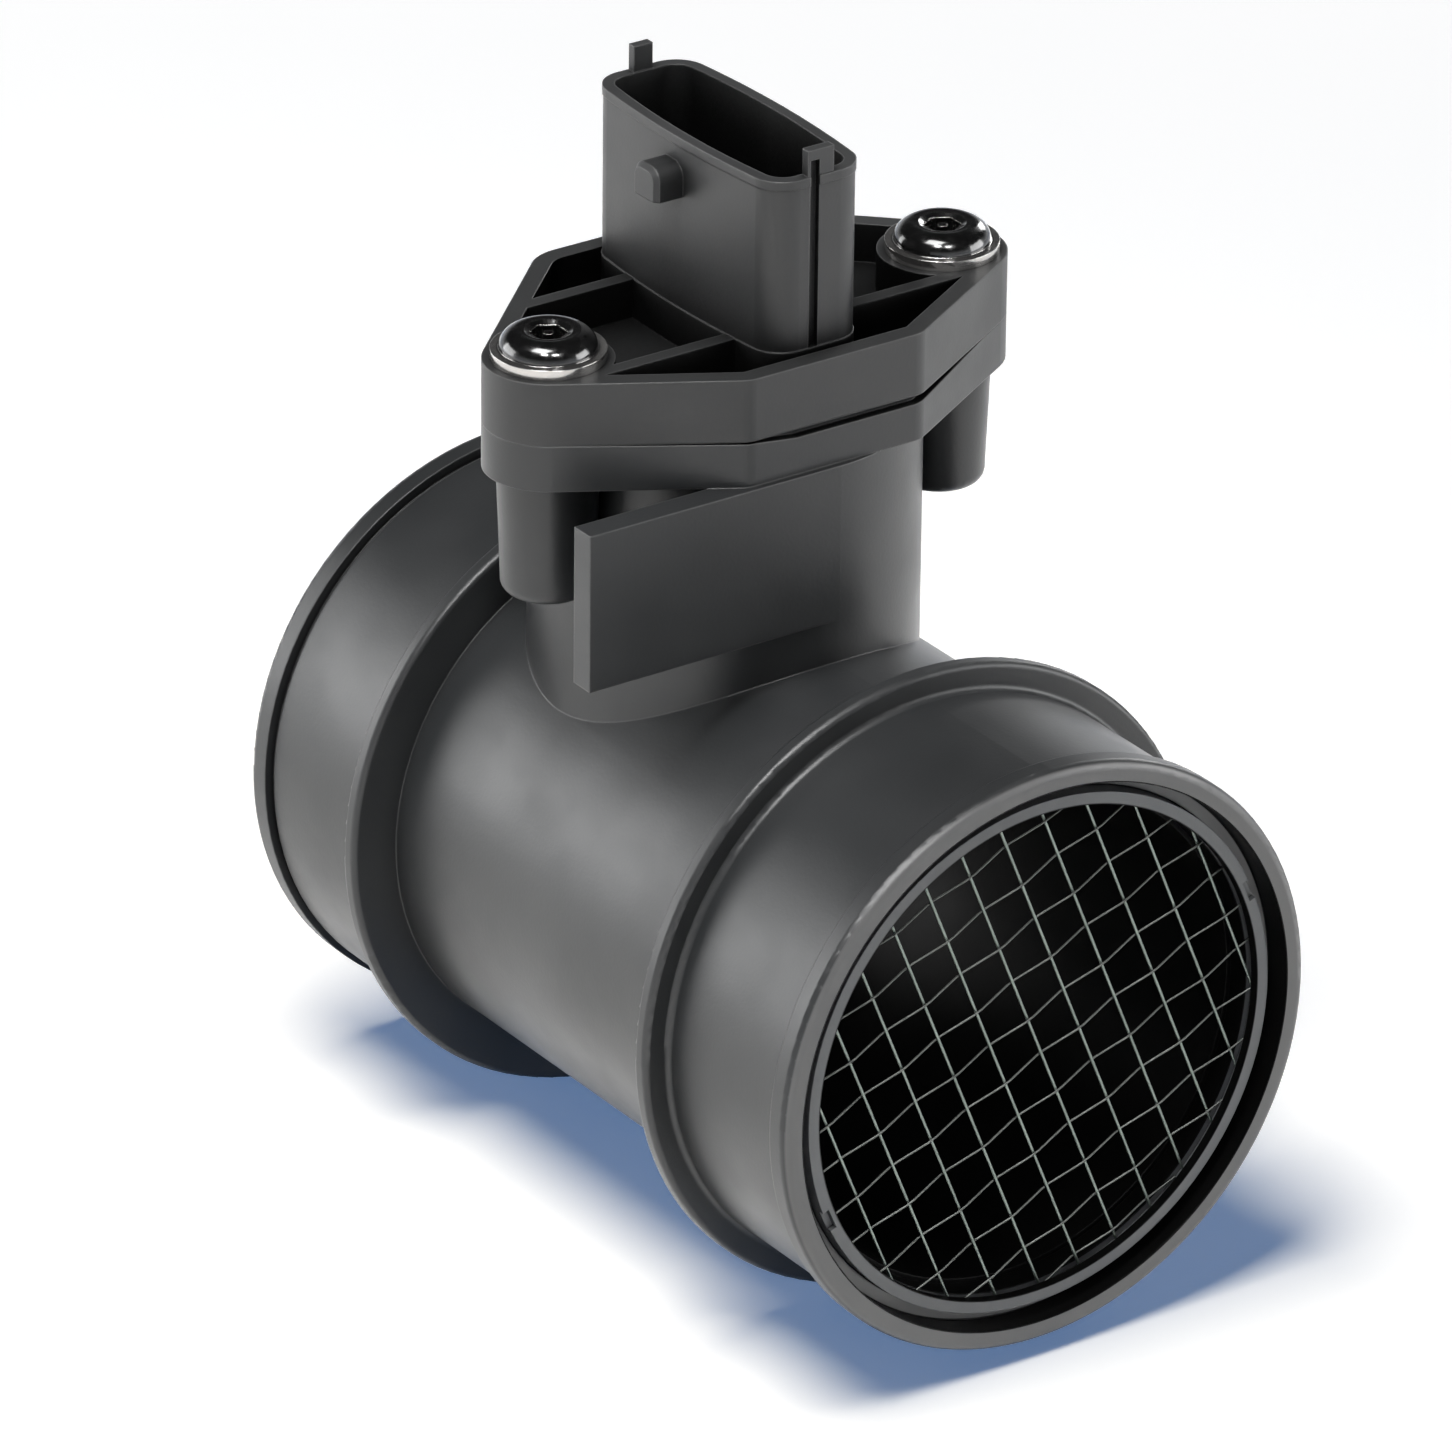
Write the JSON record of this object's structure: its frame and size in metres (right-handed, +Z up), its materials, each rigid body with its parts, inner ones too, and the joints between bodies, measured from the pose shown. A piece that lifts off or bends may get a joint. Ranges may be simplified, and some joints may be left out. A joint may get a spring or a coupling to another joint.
{
  "type": "mass airflow sensor",
  "caption": "Mass airflow sensor: a moulded round air duct with a wire mesh inlet and a bolted measuring module with a probe and an electrical connector on top.",
  "frame": {"origin": "centre of the duct's outlet end face, on the duct's axis", "axes": "+X along the duct against the flow, from the outlet to the meshed inlet; +Z up the tower to the connector; +Y across the duct"},
  "size_m": [0.096, 0.067, 0.116],
  "materials": {
    "duct_plastic": "moulded, satin black",
    "module_plastic": "moulded, satin charcoal",
    "seal_rubber": "smooth black",
    "bush_steel": "plated, satin",
    "screw_black": "black coated, glossy",
    "terminal_tin": "tinned, satin",
    "plate_aluminium": "satin",
    "board_green": "varnished",
    "chip_black": "matte moulded",
    "ceramic_white": "fired, semi-gloss",
    "element_dark": "polished",
    "bead_amber": "glazed",
    "ring_plastic": "moulded, satin black",
    "mesh_steel": "drawn wire, bright"
  },
  "bodies": {
    "root": {"duct_housing": "duct_plastic", "sensor_body": "module_plastic", "electronics_cover": "module_plastic", "channel_cover": "module_plastic", "seal_ring": "seal_rubber", "bush_left": "bush_steel", "bush_right": "bush_steel", "screw_left": "screw_black", "screw_right": "screw_black", "terminal_1": "terminal_tin", "terminal_2": "terminal_tin", "terminal_3": "terminal_tin", "terminal_4": "terminal_tin", "terminal_5": "terminal_tin", "base_plate": "plate_aluminium", "circuit_board": "board_green", "control_chip": "chip_black", "sensor_carrier": "ceramic_white", "sensor_element": "element_dark", "air_thermistor": "bead_amber", "mesh_frame": "ring_plastic", "mesh_retainer": "ring_plastic", "mesh_warp_wires": "mesh_steel", "mesh_weft_wires": "mesh_steel"}
  },
  "joints": []
}
